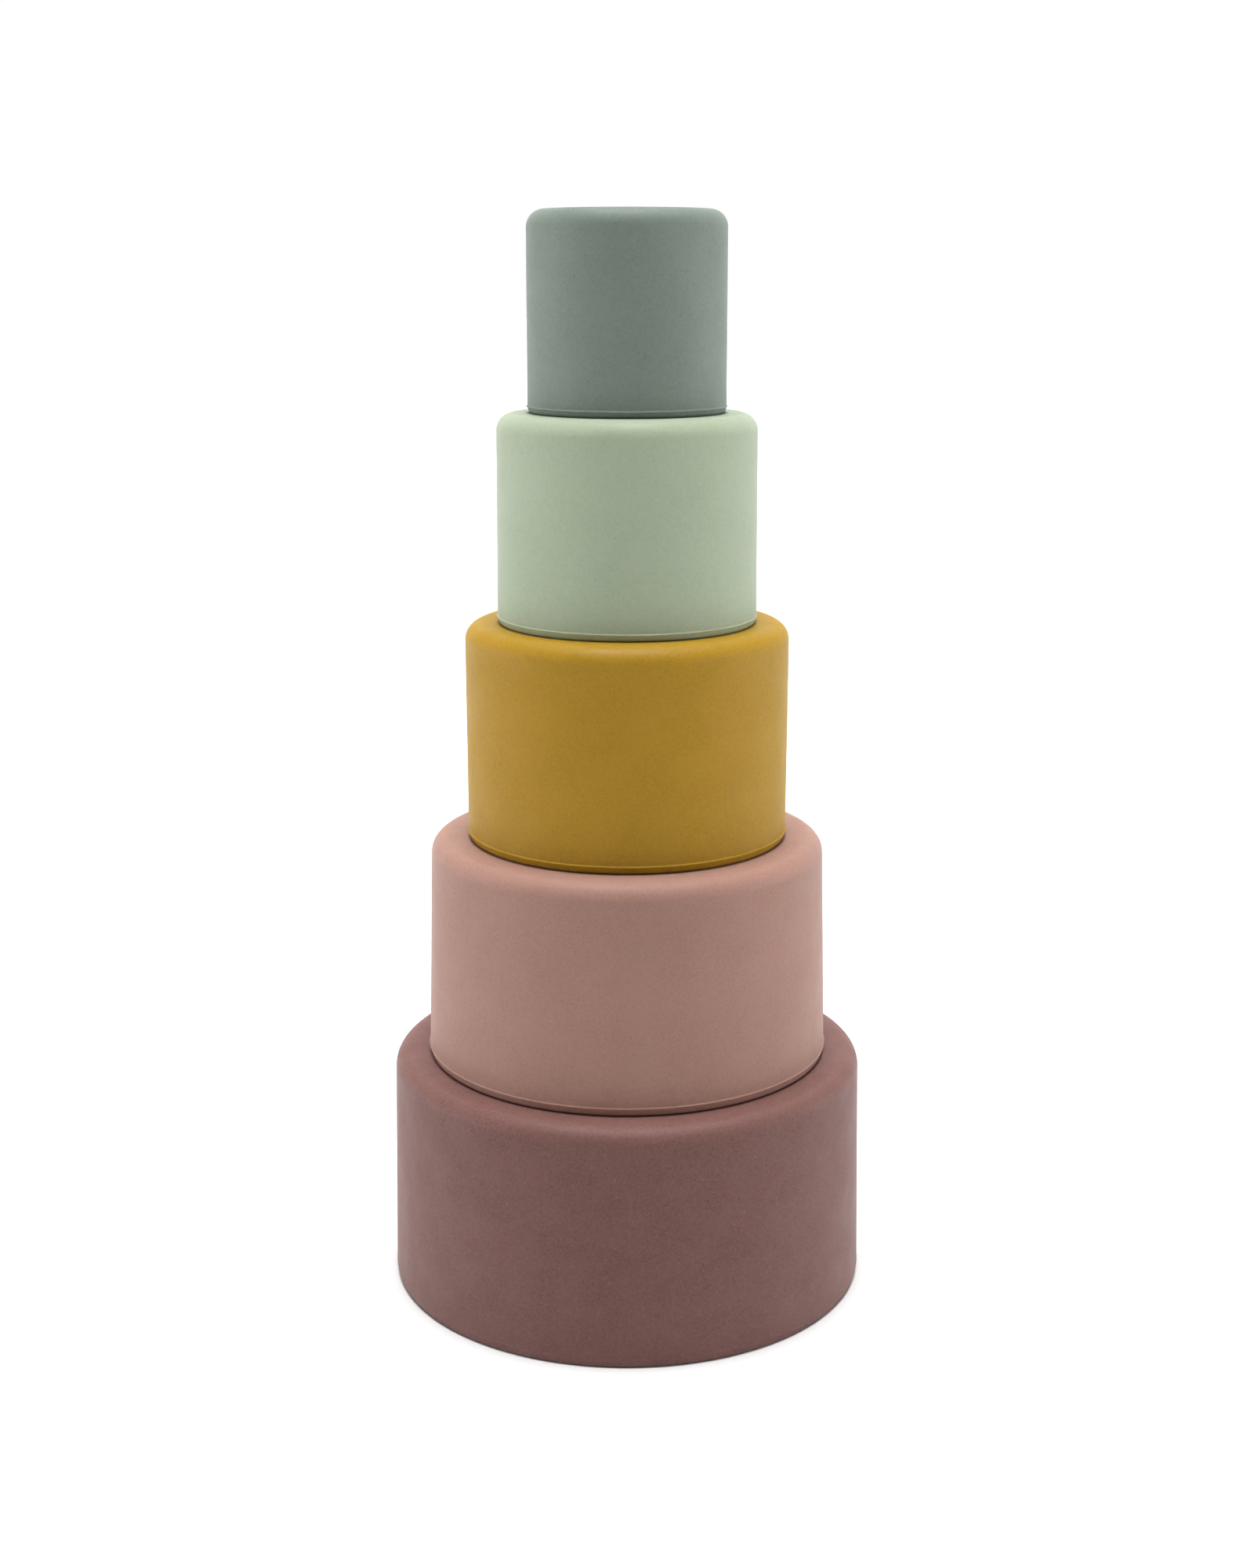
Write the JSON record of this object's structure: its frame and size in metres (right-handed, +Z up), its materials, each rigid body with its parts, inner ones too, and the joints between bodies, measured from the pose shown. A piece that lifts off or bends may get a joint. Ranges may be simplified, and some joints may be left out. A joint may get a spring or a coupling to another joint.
{
  "type": "stacking cups toy",
  "caption": "Plain round silicone cups of graded sizes, each hollow with a closed end, turned open side down and stacked into a stepped tower.",
  "frame": {"origin": "middle of the tower's foot, on the surface that the largest cup's open rim stands on", "axes": "+Z up, along the common middle line of the cups, from the largest cup to the smallest; every cup is round about it, so X and Y are alike, and -Y is taken as the front"},
  "size_m": [0.1022, 0.1022, 0.2255],
  "materials": {
    "mauve_silicone": "matte",
    "blush_silicone": "matte",
    "mustard_silicone": "matte",
    "mint_silicone": "matte",
    "sage_silicone": "matte"
  },
  "bodies": {
    "largest_cup": {"largest_cup": "mauve_silicone"},
    "large_cup": {"large_cup": "blush_silicone"},
    "middle_cup": {"middle_cup": "mustard_silicone"},
    "small_cup": {"small_cup": "mint_silicone"},
    "smallest_cup": {"smallest_cup": "sage_silicone"}
  },
  "joints": [
    {"name": "large_cup_lift", "type": "slide", "parent": "largest_cup", "child": "large_cup", "axis": [0, 0, 1], "range_m": [0, 0.06]},
    {"name": "middle_cup_lift", "type": "slide", "parent": "large_cup", "child": "middle_cup", "axis": [0, 0, 1], "range_m": [0, 0.06]},
    {"name": "small_cup_lift", "type": "slide", "parent": "middle_cup", "child": "small_cup", "axis": [0, 0, 1], "range_m": [0, 0.06]},
    {"name": "smallest_cup_lift", "type": "slide", "parent": "small_cup", "child": "smallest_cup", "axis": [0, 0, 1], "range_m": [0, 0.06]}
  ]
}
